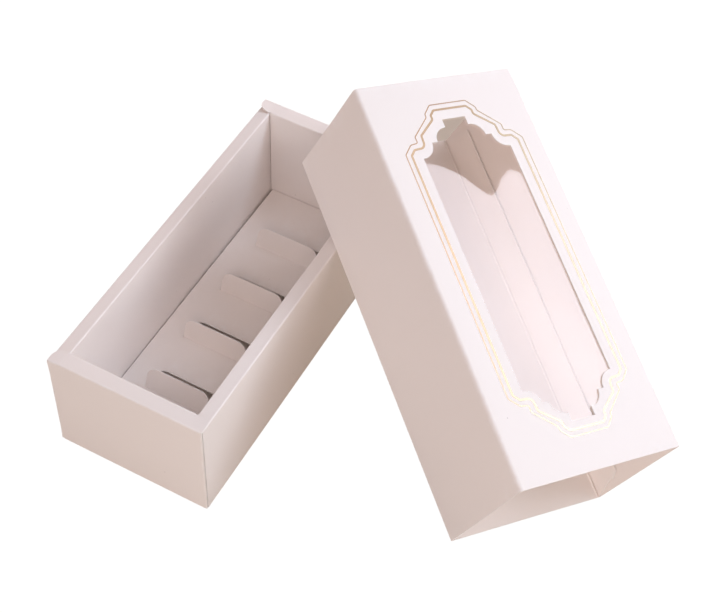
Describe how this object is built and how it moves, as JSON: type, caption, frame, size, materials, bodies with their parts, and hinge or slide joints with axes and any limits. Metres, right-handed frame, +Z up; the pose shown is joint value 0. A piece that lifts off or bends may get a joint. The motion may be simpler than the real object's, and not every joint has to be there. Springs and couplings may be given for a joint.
{
  "type": "macaron box",
  "caption": "Card drawer box for macarons, shown apart: an open tray with folded double walls and a raised tabbed floor, and a window sleeve leaning on its rim.",
  "frame": {"origin": "centre of the tray's underside, on the surface that the box stands on", "axes": "+Z up, +Y along the tray's length away from the viewer, +X towards the side where the sleeve leans and reaches the table"},
  "size_m": [0.2457, 0.2043, 0.127],
  "materials": {
    "tray_card": "coated off-white folding board, softly satin",
    "divider_card": "coated off-white folding board, softly satin",
    "sleeve_card": "coated white folding board, satin, with thin gold foil lines round the window",
    "clear_film": "clear glossy plastic film"
  },
  "bodies": {
    "root": {"tray": "tray_card", "divider": "divider_card", "sleeve": "sleeve_card", "window_film": "clear_film"}
  },
  "joints": []
}
